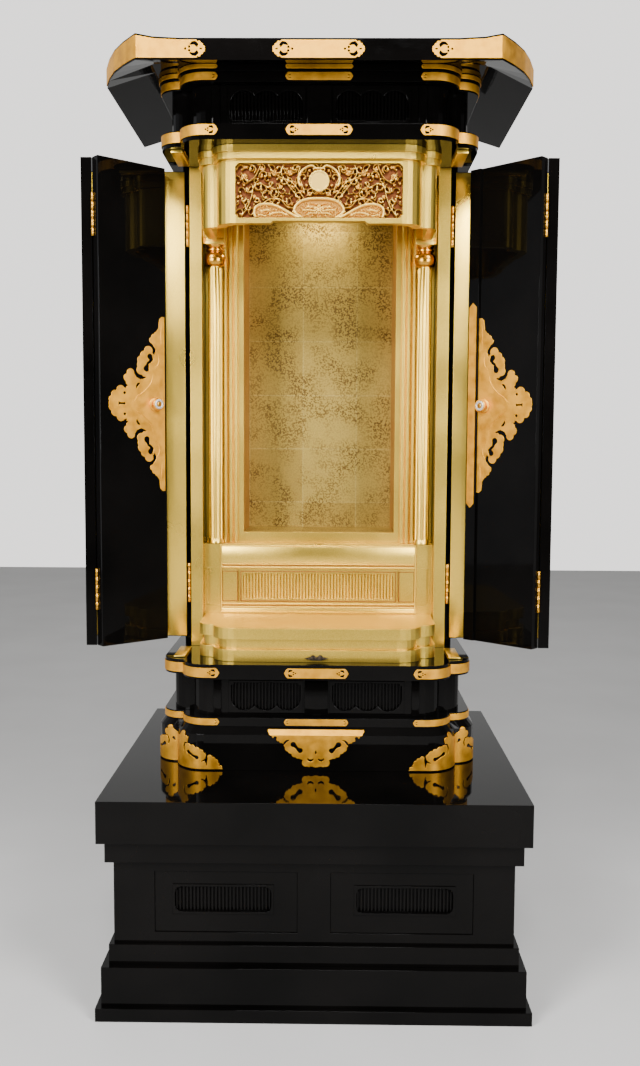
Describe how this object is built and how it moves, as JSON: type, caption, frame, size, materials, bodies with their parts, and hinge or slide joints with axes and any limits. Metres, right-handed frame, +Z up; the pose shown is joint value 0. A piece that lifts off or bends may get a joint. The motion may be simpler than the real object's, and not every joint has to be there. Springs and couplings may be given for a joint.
{
  "type": "buddhist altar",
  "caption": "Tall lacquered household altar with a gilt interior behind folding doors, lobed mouldings and a roof, on a wide stepped stand.",
  "frame": {"origin": "on the floor under the middle of the stand", "axes": "+Z up, the doors open towards -Y, the flat back is at +Y, +X is the viewer's right"},
  "size_m": [0.833, 0.6, 1.571],
  "materials": {
    "black_lacquer": "polished black lacquer on wood",
    "satin_gold": "satin gold lacquer on wood",
    "gold_leaf": "squares of gold leaf on wood",
    "gilt_fitting": "gilt, satin",
    "dark_metal": "dark oxidised metal"
  },
  "bodies": {
    "case": {"stand_plinth": "black_lacquer", "stand_lower_step": "black_lacquer", "stand_upper_step": "black_lacquer", "stand_carcass": "black_lacquer", "stand_back": "black_lacquer", "stand_panel_left": "black_lacquer", "stand_panel_right": "black_lacquer", "stand_frieze": "black_lacquer", "stand_slab": "black_lacquer", "base_block": "black_lacquer", "lower_board": "black_lacquer", "waist": "black_lacquer", "sill_board": "black_lacquer", "head_board": "black_lacquer", "neck": "black_lacquer", "top_board": "black_lacquer", "crest_board": "black_lacquer", "roof": "black_lacquer", "side_wall_left": "black_lacquer", "side_wall_right": "black_lacquer", "back_wall": "black_lacquer", "foot_moulding": "satin_gold", "hollow_moulding": "satin_gold", "interior_floor": "satin_gold", "jamb_left": "satin_gold", "jamb_right": "satin_gold", "dais_rail": "satin_gold", "dais_front": "satin_gold", "dais_top": "satin_gold", "column_left": "satin_gold", "column_right": "satin_gold", "block_left": "satin_gold", "block_right": "satin_gold", "pilaster_left": "satin_gold", "pilaster_right": "satin_gold", "niche_frame": "satin_gold", "lintel": "satin_gold", "lintel_carving": "satin_gold", "cornice_upper": "satin_gold", "cornice_lower": "satin_gold", "niche_shell": "gold_leaf", "base_fitting_centre": "gilt_fitting", "base_fitting_left": "gilt_fitting", "base_fitting_right": "gilt_fitting", "roof_plate_left": "gilt_fitting", "roof_plate_right": "gilt_fitting", "roof_plate_centre": "gilt_fitting", "sill_catch": "dark_metal"},
    "side_left": {"side_leaf_left": "black_lacquer", "corner_leaf_left": "black_lacquer"},
    "side_right": {"side_leaf_right": "black_lacquer", "corner_leaf_right": "black_lacquer"},
    "leaf_left": {"door_leaf_left": "black_lacquer", "door_plate_left": "gilt_fitting", "door_knob_left": "gilt_fitting"},
    "leaf_right": {"door_leaf_right": "black_lacquer", "door_plate_right": "gilt_fitting", "door_knob_right": "gilt_fitting", "meeting_strip": "black_lacquer", "meeting_strip_fitting": "gilt_fitting"}
  },
  "joints": [
    {"name": "side_hinge_left", "type": "hinge", "parent": "case", "child": "side_left", "pos_m": [-0.2435, 0.057, 0.5625], "axis": [0, 0, 1], "range_deg": [0, 70]},
    {"name": "side_hinge_right", "type": "hinge", "parent": "case", "child": "side_right", "pos_m": [0.2435, 0.057, 0.5625], "axis": [0, 0, -1], "range_deg": [0, 70]},
    {"name": "leaf_hinge_left", "type": "hinge", "parent": "side_left", "child": "leaf_left", "pos_m": [-0.3969, -0.0406, 0.5625], "axis": [0, 0, -1], "range_deg": [0, 130]},
    {"name": "leaf_hinge_right", "type": "hinge", "parent": "side_right", "child": "leaf_right", "pos_m": [0.3969, -0.0406, 0.5625], "axis": [0, 0, 1], "range_deg": [0, 133]}
  ]
}
